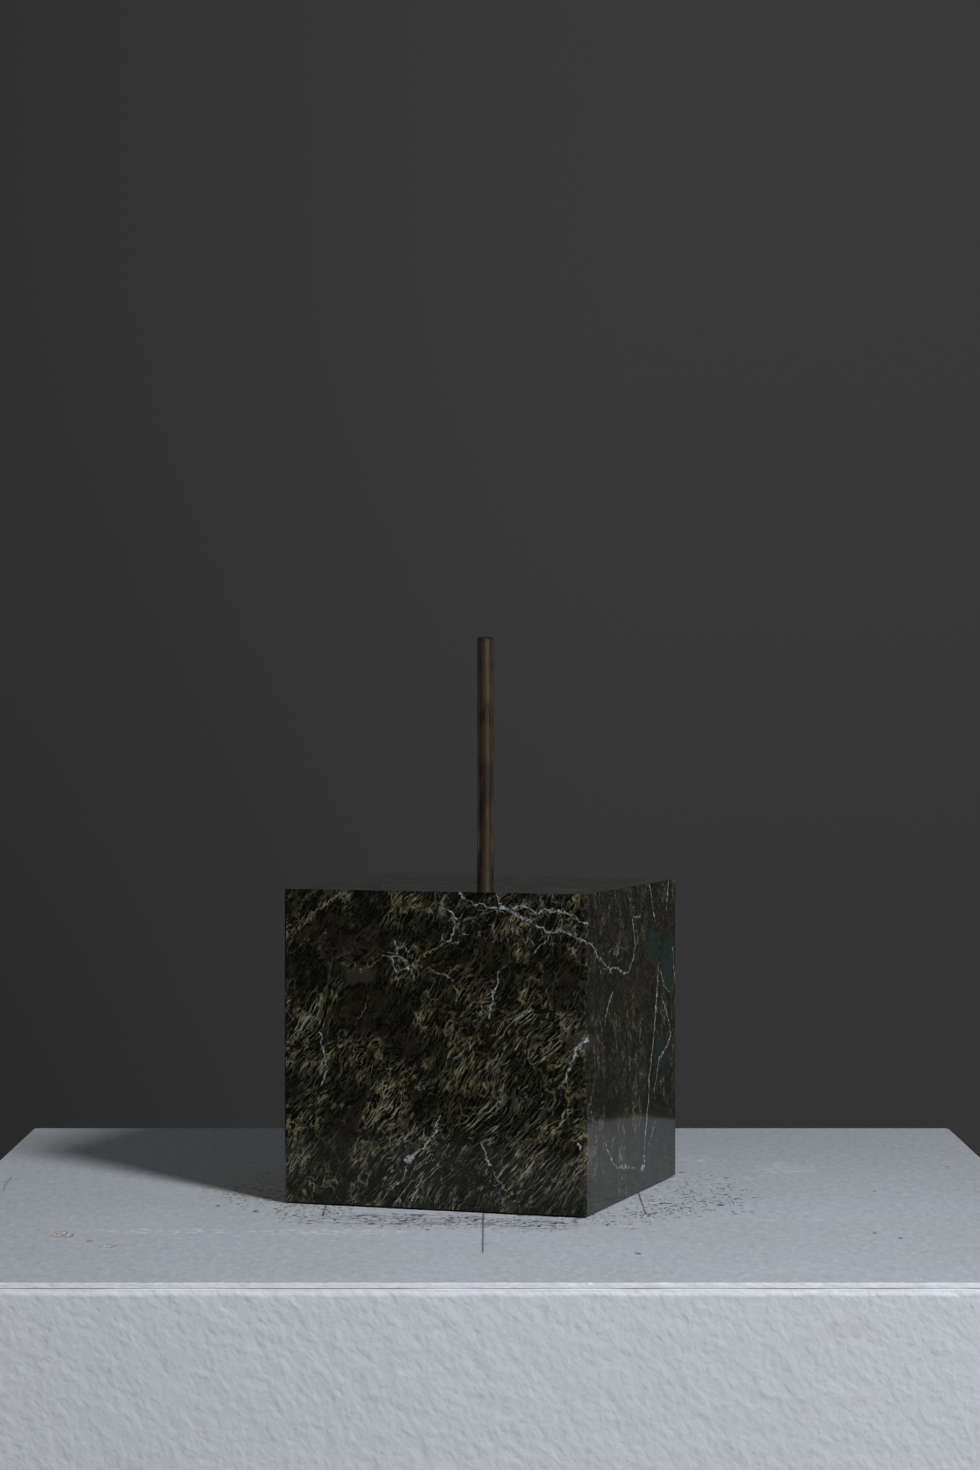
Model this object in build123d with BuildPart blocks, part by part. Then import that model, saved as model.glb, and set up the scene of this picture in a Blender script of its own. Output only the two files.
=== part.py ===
"""A display plinth: a painted board carcass on four screw feet, carrying a loose stone block with a
support rod for the exhibit. Millimetres, +Z up, origin on the floor at the middle of the carcass,
front of the plinth towards -Y."""

import os
from math import cos, radians, sin

from build123d import *

# Carcass
plinth_width = 510.0  # outside, square in plan
plinth_height = 1000.0  # floor to the top face
board = 18.0  # side and top panels, the sides mitred at the upright corners
sheet_thickness = 2.5  # facing sheet bonded over the whole top
sheet_arris = 0.8  # eased upper edge of the facing sheet
joint_easing = 0.35  # both sides of the hairline joint under the facing sheet
corner_radius = 3.0  # upright corners, in plan
floor_gap = 12.0  # side panels clear the floor by this much
base_recess = 25.0  # underside of the base board above the panels' lower rim
base_thickness = 18.0
base_clearance = 1.0  # base board to side panels, all round
batten = 34.0  # square softwood section
batten_end_gap = 0.5  # rail ends to the corner posts

# Wood screws, all of one size
screw_radius = 2.0
screw_head_radius = 4.0
screw_head_height = 2.4
screw_tip = 5.0
screw_bite = 11.0  # length past the batten, into a panel
screw_clearance = 0.1  # holes are this much larger than the screw, on the radius
cross_width = 1.0
cross_depth = 1.6
post_screw_rows = 3
post_screw_stagger = 40.0  # the two screws of a row are this far apart in height

# Screw feet, M10
foot_inset = 80.0  # foot centre from the carcass's outer faces
stem_radius = 5.0
stem_above_board = 20.0
stem_tip_chamfer = 1.0
stem_flange_radius = 8.5
spanner_flats = 17.0  # hexagon, across flats
spanner_height = 5.0
spanner_bottom = 11.0
pad_radius = 20.0
pad_top_radius = 16.0
pad_height = 10.0
pad_straight = 5.0  # height of the pad's upright side
pad_floor = 3.0
pad_lip = 2.0
pad_edge = 1.0
turning_gap = 0.3  # stem to pad
lip_gap = 0.5

# Tee nuts that the feet screw into
tee_flange_radius = 11.0
tee_flange_thickness = 1.6
tee_barrel_radius = 6.5
tee_barrel_length = 14.0
tee_barrel_clearance = 0.1
tee_prong_circle = 9.2
tee_prong_size = (1.4, 2.6)
tee_prong_height = 6.0
thread_clearance = 0.1

# Stone block, standing loose on a felt mat
block_width = 150.0
block_height = 148.0
block_centre = (-3.0, 14.0)
block_turn = -19.0  # degrees about +Z
bevel_run = 4.6  # top bevel, across the top face
bevel_drop = 2.5  # top bevel, down the side
side_arris = 1.3
base_arris = 2.0
mat_thickness = 1.0
mat_inset = 4.0

# Support rod, held by a stud through the block
rod_radius = 4.0
rod_above_block = 120.0
rod_tip_chamfer = 1.0
rod_foot_chamfer = 0.5
rod_seat_depth = 3.0  # drilled seat in the block's top that the rod's foot stands in
rod_seat_clearance = 0.7
rod_seat_edge = 0.8
stud_radius = 3.0
stud_clearance = 0.3  # stud to the hole in the stone
stud_in_rod = 20.0
tapped_extra = 2.0  # tapped hole past the stud's end
nut_pocket_radius = 14.0
nut_pocket_depth = 22.0
stud_end_gap = 4.0  # stud's lower end above the block's underside
washer_radius = 9.0
washer_thickness = 1.6
nut_flats = 10.0
nut_height = 5.0
nut_edge = 0.5

# Levels and half widths worked out from the sizes above
half_width = plinth_width / 2
inner = half_width - board
batten_line = inner - batten / 2
rim_level = floor_gap
base_level = rim_level + base_recess
base_top = base_level + base_thickness
carcass_top = plinth_height - sheet_thickness
ceiling = carcass_top - board
rail_length = 2 * (inner - batten) - 2 * batten_end_gap
foot_line = half_width - foot_inset
mat_level = plinth_height
block_level = mat_level + mat_thickness
block_top = block_level + block_height
rod_level = block_top - rod_seat_depth
pocket_ceiling = block_level + nut_pocket_depth

corner_names = ("front_left", "front_right", "back_right", "back_left")
side_names = ("front", "right", "back", "left")

os.makedirs("parts", exist_ok=True)


def save(part, name):
    """Names one finished piece and writes it."""
    part.label = name
    export_step(part, f"parts/{name}.step")


def mount_plane(level):
    """The plane of the stone block's own axes at one height."""
    turn = radians(block_turn)
    return Plane(origin=(*block_centre, level), x_dir=(cos(turn), sin(turn), 0), z_dir=(0, 0, 1))


# ---- Wood screw: its head's face lies at the origin and its tip points along +Z


def screw_body(grow=0.0):
    """A countersunk wood screw without its recess. grow makes it a cutter for its own hole."""
    radius = screw_radius + grow
    head_radius = screw_head_radius + grow
    length = batten + screw_bite + grow
    with BuildPart() as body:
        with BuildSketch(Plane.XZ):
            with BuildLine():
                Polyline(
                    (0, 0),
                    (head_radius, 0),
                    (radius, screw_head_height),
                    (radius, length - screw_tip),
                    (0, length),
                    close=True,
                )
            make_face()
        revolve(axis=Axis.Z)
    return body.part


with BuildPart() as screw:
    add(screw_body())
    with BuildSketch():
        Rectangle(2 * screw_radius, cross_width)
        Rectangle(cross_width, 2 * screw_radius)
    extrude(amount=cross_depth, mode=Mode.SUBTRACT)

screw_hole = screw_body(screw_clearance)


def screw_places(points, direction):
    """Planes for screws whose heads sit at the points and whose tips point along the direction."""
    return [Plane(origin=point, z_dir=direction) for point in points]


# Places for the front side or the front left corner; the other three are quarter turns of these.
rail_face = -(inner - batten)
rail_quarter = rail_length / 4
top_rail_mid = ceiling - batten / 2
base_rail_mid = base_top + batten / 2
post_pitch = (ceiling - base_top) / (post_screw_rows + 1)
post_rows = [base_top + post_pitch * (row + 1) for row in range(post_screw_rows)]

top_rail_side_places = screw_places(
    [(side * rail_quarter, rail_face, top_rail_mid) for side in (-1, 1)], (0, -1, 0)
)
top_rail_up_places = screw_places(
    [(side * rail_quarter / 2, -batten_line, ceiling - batten) for side in (-1, 1)], (0, 0, 1)
)
base_rail_places = screw_places(
    [(side * rail_quarter, rail_face, base_rail_mid) for side in (-1, 1)], (0, -1, 0)
)
base_board_places = screw_places(
    [(side * rail_quarter * 1.5, -batten_line, base_level) for side in (-1, 0, 1)], (0, 0, 1)
)
post_front_places = screw_places(
    [(-batten_line, rail_face, row - post_screw_stagger / 2) for row in post_rows], (0, -1, 0)
)
post_side_places = screw_places(
    [(rail_face, -batten_line, row + post_screw_stagger / 2) for row in post_rows], (-1, 0, 0)
)
screw_groups = {
    "top_rail_screws": top_rail_side_places + top_rail_up_places,
    "base_rail_screws": base_rail_places,
    "base_board_screws": base_board_places,
    "corner_post_screws": post_front_places + post_side_places,
}


def all_round(shape):
    """The four quarter turns of one shape about the plinth's axis."""
    return [shape.rotate(Axis.Z, 90 * quarter) for quarter in range(4)]


def placed(shape, planes):
    """A copy of the shape on each plane."""
    return [plane.location * shape for plane in planes]


for group_name, planes in screw_groups.items():
    with BuildPart() as group:
        for one in placed(screw.part, planes):
            add(all_round(one))
    save(group.part, group_name)

screw_holes = [
    turned
    for planes in screw_groups.values()
    for hole in placed(screw_hole, planes)
    for turned in all_round(hole)
]


def holes_near(part):
    """The screw holes whose boxes reach into the part's box."""
    box = part.bounding_box()
    return [hole for hole in screw_holes if box.overlaps(hole.bounding_box())]


# ---- Panels: mitred sides with a top panel let in between them, and the facing sheet over all

with BuildPart() as envelope:
    with BuildSketch(Plane.XY.offset(rim_level)):
        RectangleRounded(plinth_width, plinth_width, corner_radius)
    extrude(amount=carcass_top - rim_level)
    chamfer(envelope.faces().sort_by(Axis.Z)[-1].edges(), joint_easing)

with BuildPart() as side_panel:
    with BuildSketch(Plane.XY.offset(rim_level)):
        with BuildLine():
            Polyline(
                (-half_width, -half_width),
                (half_width, -half_width),
                (inner, -inner),
                (-inner, -inner),
                close=True,
            )
        make_face()
    extrude(amount=carcass_top - rim_level)
    add(envelope.part, mode=Mode.INTERSECT)
    add(holes_near(side_panel.part), mode=Mode.SUBTRACT)
for side, panel in zip(side_names, all_round(side_panel.part)):
    save(panel, f"{side}_panel")

with BuildPart() as top_panel:
    with BuildSketch(Plane.XY.offset(ceiling)):
        Rectangle(2 * inner, 2 * inner)
    extrude(amount=board)
    add(holes_near(top_panel.part), mode=Mode.SUBTRACT)
save(top_panel.part, "top_panel")

with BuildPart() as top_sheet:
    with BuildSketch(Plane.XY.offset(carcass_top)):
        RectangleRounded(plinth_width, plinth_width, corner_radius)
    extrude(amount=sheet_thickness)
    fillet(top_sheet.faces().sort_by(Axis.Z)[-1].edges(), sheet_arris)
    chamfer(top_sheet.faces().sort_by(Axis.Z)[0].edges(), joint_easing)
save(top_sheet.part, "top_sheet")

# ---- Softwood frame inside: corner posts, top rails and base rails

with BuildPart() as corner_post:
    with BuildSketch(Plane.XY.offset(base_top)):
        with Locations((-batten_line, -batten_line)):
            Rectangle(batten, batten)
    extrude(amount=ceiling - base_top)
    add(holes_near(corner_post.part), mode=Mode.SUBTRACT)
for corner, post in zip(corner_names, all_round(corner_post.part)):
    save(post, f"{corner}_post")


def rail(mid_level):
    """A batten along the front side at one height, with its screw holes."""
    with BuildPart() as bar:
        with Locations((0, -batten_line, mid_level)):
            Box(rail_length, batten, batten)
        add(holes_near(bar.part), mode=Mode.SUBTRACT)
    return bar.part


for side, bar in zip(side_names, all_round(rail(top_rail_mid))):
    save(bar, f"{side}_top_rail")
for side, bar in zip(side_names, all_round(rail(base_rail_mid))):
    save(bar, f"{side}_base_rail")

# ---- Tee nuts, driven in from below so that the load closes them, and the base board

with BuildPart() as tee_nut:
    with BuildSketch(Plane.XY.offset(base_level - tee_flange_thickness)):
        with Locations((-foot_line, -foot_line)):
            Circle(tee_flange_radius)
    extrude(amount=tee_flange_thickness)
    with BuildSketch(Plane.XY.offset(base_level)):
        with Locations((-foot_line, -foot_line)):
            Circle(tee_barrel_radius)
    extrude(amount=tee_barrel_length)
    with BuildSketch(Plane.XY.offset(base_level)):
        with Locations((-foot_line, -foot_line)):
            with PolarLocations(tee_prong_circle, 4):
                Rectangle(*tee_prong_size)
    extrude(amount=tee_prong_height)
tee_nut_solid = tee_nut.part
with BuildPart() as threaded_tee_nut:
    add(tee_nut_solid)
    with Locations((-foot_line, -foot_line, base_level + tee_barrel_length)):
        Hole(stem_radius + thread_clearance)
with BuildPart() as tee_nuts:
    add(all_round(threaded_tee_nut.part))
save(tee_nuts.part, "tee_nuts")

with BuildPart() as base_board:
    board_side = 2 * (inner - base_clearance)
    with BuildSketch(Plane.XY.offset(base_level)):
        Rectangle(board_side, board_side)
    extrude(amount=base_thickness)
    add(holes_near(base_board.part), mode=Mode.SUBTRACT)
    add(all_round(tee_nut_solid), mode=Mode.SUBTRACT)
    with Locations(base_board.faces().sort_by(Axis.Z)[-1]):
        with GridLocations(2 * foot_line, 2 * foot_line, 2, 2):
            Hole(tee_barrel_radius + tee_barrel_clearance)
save(base_board.part, "base_board")

# ---- Screw feet: a stem that turns in the tee nut, and a glide pad captive on its flange

with BuildPart() as foot_pad:
    with BuildSketch(Plane.XZ.offset(foot_line)):
        with BuildLine():
            Polyline(
                (0, 0),
                (pad_radius - pad_edge, 0),
                (pad_radius, pad_edge),
                (pad_radius, pad_straight),
                (pad_top_radius, pad_height),
                (stem_radius + lip_gap, pad_height),
                (stem_radius + lip_gap, pad_height - pad_lip),
                (stem_flange_radius + turning_gap, pad_height - pad_lip),
                (stem_flange_radius + turning_gap, pad_floor),
                (0, pad_floor),
                close=True,
            )
        make_face()
    revolve(axis=Axis((0, -foot_line, 0), (0, 0, 1)))
pad_at_corner = foot_pad.part.moved(Location((-foot_line, 0, 0)))
for corner, pad in zip(corner_names, all_round(pad_at_corner)):
    save(pad, f"{corner}_foot_pad")

with BuildPart() as foot_stem:
    flange_level = pad_floor + turning_gap
    flange_thickness = pad_height - pad_lip - pad_floor - 2 * turning_gap
    stem_centre = (-foot_line, -foot_line)
    with BuildSketch(Plane.XY.offset(flange_level)):
        with Locations(stem_centre):
            Circle(stem_flange_radius)
    extrude(amount=flange_thickness)
    with BuildSketch(Plane.XY.offset(flange_level)):
        with Locations(stem_centre):
            Circle(stem_radius)
    extrude(amount=base_top + stem_above_board - flange_level)
    chamfer(foot_stem.edges().sort_by(Axis.Z)[-1], stem_tip_chamfer)
    with BuildSketch(Plane.XY.offset(spanner_bottom)):
        with Locations(stem_centre):
            RegularPolygon(spanner_flats / 2, 6, major_radius=False)
    extrude(amount=spanner_height)
for corner, stem in zip(corner_names, all_round(foot_stem.part)):
    save(stem, f"{corner}_foot_stem")

# ---- Felt mat and stone block

with BuildPart() as felt_mat:
    with BuildSketch(mount_plane(mat_level)):
        Rectangle(block_width - 2 * mat_inset, block_width - 2 * mat_inset)
    extrude(amount=mat_thickness)
save(felt_mat.part, "felt_mat")


def bevel_strips(along):
    """The waste that the top bevels and base arrises cut off, on two opposite sides."""
    half = block_width / 2
    plane = mount_plane(block_level)
    direction = plane.x_dir if along == "x" else plane.y_dir
    across = Plane(origin=plane.origin, x_dir=direction.cross(plane.z_dir), z_dir=direction)
    with BuildPart() as waste:
        with BuildSketch(across):
            for side in (-1, 1):
                with BuildLine():
                    Polyline(
                        (side * half, block_height - bevel_drop),
                        (side * half, block_height),
                        (side * (half - bevel_run), block_height),
                        close=True,
                    )
                make_face()
                with BuildLine():
                    Polyline(
                        (side * half, base_arris),
                        (side * half, 0),
                        (side * (half - base_arris), 0),
                        close=True,
                    )
                make_face()
        extrude(amount=block_width, both=True)
    return waste.part


with BuildPart() as stone_block:
    with BuildSketch(mount_plane(block_level)) as block_outline:
        Rectangle(block_width, block_width)
        chamfer(block_outline.vertices(), side_arris)
    extrude(amount=block_height)
    add(bevel_strips("x"), mode=Mode.SUBTRACT)
    add(bevel_strips("y"), mode=Mode.SUBTRACT)
    with Locations((*block_centre, block_top)):
        CounterBoreHole(stud_radius + stud_clearance, rod_radius + rod_seat_clearance, rod_seat_depth)
    seat_mouth = stone_block.faces().sort_by(Axis.Z)[-1].edges().filter_by(GeomType.CIRCLE)
    chamfer(seat_mouth, rod_seat_edge)
    with BuildSketch(mount_plane(block_level)):
        Circle(nut_pocket_radius)
    extrude(amount=nut_pocket_depth, mode=Mode.SUBTRACT)
save(stone_block.part, "stone_block")

# ---- Support rod: its end stands in the seat on top of the stone, pulled down by the stud and nut

with BuildPart() as support_rod:
    with BuildSketch(mount_plane(rod_level)):
        Circle(rod_radius)
    extrude(amount=rod_above_block + rod_seat_depth)
    chamfer(support_rod.edges().sort_by(Axis.Z)[-1], rod_tip_chamfer)
    chamfer(support_rod.edges().sort_by(Axis.Z)[0], rod_foot_chamfer)
    with BuildSketch(mount_plane(rod_level)):
        Circle(stud_radius + thread_clearance)
    extrude(amount=stud_in_rod + tapped_extra, mode=Mode.SUBTRACT)
save(support_rod.part, "support_rod")

with BuildPart() as tie_stud:
    stud_bottom = block_level + stud_end_gap
    with BuildSketch(mount_plane(stud_bottom)):
        Circle(stud_radius)
    extrude(amount=rod_level + stud_in_rod - stud_bottom)
save(tie_stud.part, "tie_stud")

with BuildPart() as stud_washer:
    with BuildSketch(mount_plane(pocket_ceiling - washer_thickness)):
        Circle(washer_radius)
        Circle(stud_radius + stud_clearance, mode=Mode.SUBTRACT)
    extrude(amount=washer_thickness)
save(stud_washer.part, "stud_washer")

with BuildPart() as stud_nut:
    with BuildSketch(mount_plane(pocket_ceiling - washer_thickness - nut_height)):
        RegularPolygon(nut_flats / 2, 6, major_radius=False)
        Circle(stud_radius + thread_clearance, mode=Mode.SUBTRACT)
    extrude(amount=nut_height)
    hexagon_edges = stud_nut.edges().filter_by(GeomType.LINE).filter_by(Axis.Z, reverse=True)
    chamfer(hexagon_edges, nut_edge)
save(stud_nut.part, "stud_nut")
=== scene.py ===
from math import cos, pi, radians, sin

import bpy
import numpy as np
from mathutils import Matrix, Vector


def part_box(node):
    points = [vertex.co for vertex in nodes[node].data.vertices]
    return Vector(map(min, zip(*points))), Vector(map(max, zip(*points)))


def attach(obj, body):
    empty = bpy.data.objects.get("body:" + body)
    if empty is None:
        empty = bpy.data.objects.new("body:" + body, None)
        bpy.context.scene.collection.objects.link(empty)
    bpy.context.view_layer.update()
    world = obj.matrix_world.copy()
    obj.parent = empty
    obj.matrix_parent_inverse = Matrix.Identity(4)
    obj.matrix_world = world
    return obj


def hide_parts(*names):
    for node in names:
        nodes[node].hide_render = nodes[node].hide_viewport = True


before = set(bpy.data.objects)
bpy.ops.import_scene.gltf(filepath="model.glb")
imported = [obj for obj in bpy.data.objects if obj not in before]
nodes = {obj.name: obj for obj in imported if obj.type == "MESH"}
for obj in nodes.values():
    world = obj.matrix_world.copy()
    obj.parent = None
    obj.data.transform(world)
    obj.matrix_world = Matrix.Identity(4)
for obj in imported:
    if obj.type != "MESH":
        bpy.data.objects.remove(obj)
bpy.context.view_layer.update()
scene = bpy.context.scene
millimetre = 0.001
print("frame loaded:", len(nodes), "nodes")


# small helpers for shader trees

# adds a node with its settings and inputs; an input is a value or another node's output
def addNode(tree, kind, inputs=None, **settings):
    made = tree.nodes.new(kind)
    for name, value in settings.items():
        setattr(made, name, value)
    for key, value in (inputs or {}).items():
        if isinstance(value, bpy.types.NodeSocket):
            tree.links.new(value, made.inputs[key])
        else:
            made.inputs[key].default_value = value
    return made


def calc(tree, operation, *values):
    return addNode(tree, "ShaderNodeMath", dict(enumerate(values)), operation=operation).outputs[0]


def times(tree, first, second):
    return calc(tree, "MULTIPLY", first, second)


def plus(tree, first, second):
    return calc(tree, "ADD", first, second)


def minus(tree, first, second):
    return calc(tree, "SUBTRACT", first, second)


def vectorCalc(tree, operation, *values, out="Vector"):
    return addNode(tree, "ShaderNodeVectorMath", dict(enumerate(values)), operation=operation).outputs[out]


# rises from 0 to 1 as value goes from low to high, with soft ends; low above high makes it fall
def ease(tree, value, low, high, top=1.0):
    if low > high:
        low, high, start, end = high, low, top, 0.0
    else:
        start, end = 0.0, top
    made = addNode(tree, "ShaderNodeMapRange", {0: value, 1: low, 2: high, 3: start, 4: end},
                   interpolation_type="SMOOTHSTEP", clamp=False)
    return made.outputs[0]


def noise(tree, vector, scale, detail=2.0, roughness=0.5, wander=0.0, out="Fac"):
    made = addNode(tree, "ShaderNodeTexNoise",
                   {"Vector": vector, "Scale": scale, "Detail": detail, "Roughness": roughness,
                    "Distortion": wander}, noise_dimensions="3D")
    return made.outputs[out]


def blendColour(tree, factor, first, second, mode="MIX"):
    def rgba(value):
        return (*value, 1.0) if isinstance(value, tuple) else value
    made = addNode(tree, "ShaderNodeMix", {0: factor, 6: rgba(first), 7: rgba(second)},
                   data_type="RGBA", blend_type=mode)
    return made.outputs[2]


# lays other over colour where the mask is, at the given strength
def tinted(tree, colour, mask, strength, other):
    return blendColour(tree, times(tree, mask, strength), colour, other)


# moves the pattern's origin to centre, turns it and divides by size
def place(tree, vector, centre=(0, 0, 0), turn=(0, 0, 0), size=(1, 1, 1)):
    made = addNode(tree, "ShaderNodeMapping",
                   {"Vector": vector, "Location": centre, "Rotation": turn, "Scale": size},
                   vector_type="TEXTURE")
    return made.outputs[0]


# scene coordinates are metres; the patterns are laid out in millimetres
def inMillimetres(tree, where):
    return place(tree, where, size=(millimetre, millimetre, millimetre))


def newGroup(name, inputs, outputs):
    group = bpy.data.node_groups.new(name, "ShaderNodeTree")
    for title, value in inputs:
        kind = "NodeSocketVector" if isinstance(value, tuple) else "NodeSocketFloat"
        socket = group.interface.new_socket(name=title, in_out="INPUT", socket_type=kind)
        socket.default_value = value
    for title in outputs:
        group.interface.new_socket(name=title, in_out="OUTPUT", socket_type="NodeSocketFloat")
    return group, group.nodes.new("NodeGroupInput").outputs, group.nodes.new("NodeGroupOutput").inputs


def useGroup(tree, group, inputs):
    return addNode(tree, "ShaderNodeGroup", inputs, node_tree=group).outputs


def newMaterial(name):
    made = bpy.data.materials.new(name)
    made.use_nodes = True
    tree = made.node_tree
    shader = tree.nodes["Principled BSDF"]
    where = addNode(tree, "ShaderNodeTexCoord").outputs["Object"]
    return made, tree, shader, where


# the roughness is a number or another node's output
def coat(tree, shader, colour, roughness):
    tree.links.new(colour, shader.inputs["Base Color"])
    if isinstance(roughness, bpy.types.NodeSocket):
        tree.links.new(roughness, shader.inputs["Roughness"])
    else:
        shader.inputs["Roughness"].default_value = roughness


def bumpInto(tree, shader, height, distance, strength=1.0):
    made = addNode(tree, "ShaderNodeBump", {"Height": height, "Distance": distance, "Strength": strength})
    tree.links.new(made.outputs[0], shader.inputs["Normal"])


def paint(material, *names):
    for name in names:
        for socket in nodes[name].material_slots:
            socket.material = material


# shader groups that several materials share

# stroke: 1 within width of the straight line from start to end, falling to 0 over the softness
strokeGroup, given, result = newGroup(
    "stroke",
    [("Vector", (0, 0, 0)), ("Start", (0, 0, 0)), ("End", (1, 0, 0)), ("Width", 1.0), ("Softness", 1.0)],
    ["Mask"])
along = vectorCalc(strokeGroup, "SUBTRACT", given["End"], given["Start"])
offset = vectorCalc(strokeGroup, "SUBTRACT", given["Vector"], given["Start"])
share = calc(strokeGroup, "DIVIDE", vectorCalc(strokeGroup, "DOT_PRODUCT", offset, along, out="Value"),
             vectorCalc(strokeGroup, "DOT_PRODUCT", along, along, out="Value"))
share = calc(strokeGroup, "MAXIMUM", calc(strokeGroup, "MINIMUM", share, 1.0), 0.0)
reached = addNode(strokeGroup, "ShaderNodeVectorMath", {0: along, "Scale": share}, operation="SCALE")
distance = vectorCalc(strokeGroup, "DISTANCE", offset, reached.outputs[0], out="Value")
beyond = calc(strokeGroup, "DIVIDE", minus(strokeGroup, distance, given["Width"]), given["Softness"])
strokeGroup.links.new(ease(strokeGroup, beyond, 1.0, 0.0), result["Mask"])

# spot: 1 inside an ellipsoid of the given radii round a centre, 0 outside it, with a ragged soft edge
spotGroup, given, result = newGroup(
    "spot",
    [("Vector", (0, 0, 0)), ("Centre", (0, 0, 0)), ("Radii", (1, 1, 1)), ("Ragged", 0.3), ("Grain", 0.3)],
    ["Mask"])
offset = vectorCalc(spotGroup, "SUBTRACT", given["Vector"], given["Centre"])
offset = vectorCalc(spotGroup, "DIVIDE", offset, given["Radii"])
rough = minus(spotGroup, noise(spotGroup, given["Vector"], given["Grain"], 3.0, 0.6), 0.5)
reach = plus(spotGroup, vectorCalc(spotGroup, "LENGTH", offset, out="Value"),
             times(spotGroup, rough, given["Ragged"]))
spotGroup.links.new(ease(spotGroup, reach, 1.15, 0.75), result["Mask"])

# strands: the contour lines of a noise field, count lines from its low to its high,
# broken up along their length
strandGroup, given, result = newGroup(
    "strands", [("Vector", (0, 0, 0)), ("Scale", 0.1), ("Count", 6.0), ("Thickness", 0.2), ("Breaks", 0.5)],
    ["Mask"])
field = noise(strandGroup, given["Vector"], given["Scale"], 2.0, 0.45)
saw = calc(strandGroup, "FRACT", times(strandGroup, field, given["Count"]))
away = calc(strandGroup, "ABSOLUTE", minus(strandGroup, saw, 0.5))
line = ease(strandGroup, calc(strandGroup, "DIVIDE", away, given["Thickness"]), 1.0, 0.2)
finer = times(strandGroup, given["Scale"], 1.4)
shown = minus(strandGroup, noise(strandGroup, given["Vector"], finer, 2.0), given["Breaks"])
shown = ease(strandGroup, shown, -0.1, 0.1)
strandGroup.links.new(times(strandGroup, line, shown), result["Mask"])

# stipple: the height of rolled paint, soft lumps drawn out on a slant with shallow dents between them, and
# the dents' mask, where the sides get painted shade
stippleGroup, given, result = newGroup(
    "stipple", [("Vector", (0, 0, 0)), ("Scale", 0.4), ("Dents", 0.4)], ["Height", "DentShade"])
slant = (radians(8), radians(-38), radians(8))
slanted = place(stippleGroup, given["Vector"], turn=slant, size=(1.0, 1.0, 1.3))
lumps = noise(stippleGroup, slanted, given["Scale"], 1.5, 0.4)
broad = noise(stippleGroup, slanted, times(stippleGroup, given["Scale"], 0.4), 1.0)
hollow = noise(stippleGroup, slanted, times(stippleGroup, given["Scale"], 1.3), 1.0, 0.4)
dent = times(stippleGroup, ease(stippleGroup, hollow, 0.5, 0.24), given["Dents"])
height = plus(stippleGroup, lumps, times(stippleGroup, broad, 1.3))
stippleGroup.links.new(minus(stippleGroup, height, times(stippleGroup, dent, 0.25)), result["Height"])
stippleGroup.links.new(dent, result["DentShade"])

# specks: one round speck in some of the cells, more of them where Density is high
speckGroup, given, result = newGroup(
    "specks", [("Vector", (0, 0, 0)), ("Scale", 0.3), ("Density", 0.5), ("Size", 0.3)], ["Mask", "Shade"])
cells = addNode(speckGroup, "ShaderNodeTexVoronoi", {"Vector": given["Vector"], "Scale": given["Scale"]})
cells = cells.outputs
draw = addNode(speckGroup, "ShaderNodeSeparateColor", {0: cells["Color"]}).outputs
wanted = calc(speckGroup, "LESS_THAN", draw[0], given["Density"])
reach = times(speckGroup, given["Size"], plus(speckGroup, draw[1], 0.25))
inside = ease(speckGroup, calc(speckGroup, "DIVIDE", cells["Distance"], reach), 1.1, 0.6)
speckGroup.links.new(times(speckGroup, inside, wanted), result["Mask"])
speckGroup.links.new(draw[2], result["Shade"])
print("shader groups built")


# joins the strokes of several polylines into one mask; each row is a width and its points
def strokesOf(tree, vector, rows, softness):
    mask = None
    for width, *points in rows:
        for start, end in zip(points, points[1:]):
            one = useGroup(tree, strokeGroup, {"Vector": vector, "Start": start, "End": end, "Width": width,
                                               "Softness": softness + width * 0.6})["Mask"]
            mask = one if mask is None else calc(tree, "MAXIMUM", mask, one)
    return mask


def spotsOf(tree, vector, rows, ragged, grain):
    mask = None
    for centre, radii in rows:
        one = useGroup(tree, spotGroup, {"Vector": vector, "Centre": centre, "Radii": radii,
                                         "Ragged": ragged, "Grain": grain})["Mask"]
        mask = one if mask is None else calc(tree, "MAXIMUM", mask, one)
    return mask


# the polished stone

stoneLow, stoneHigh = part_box("stone_block")
stoneCentre = (stoneLow + stoneHigh) / 2

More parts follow.
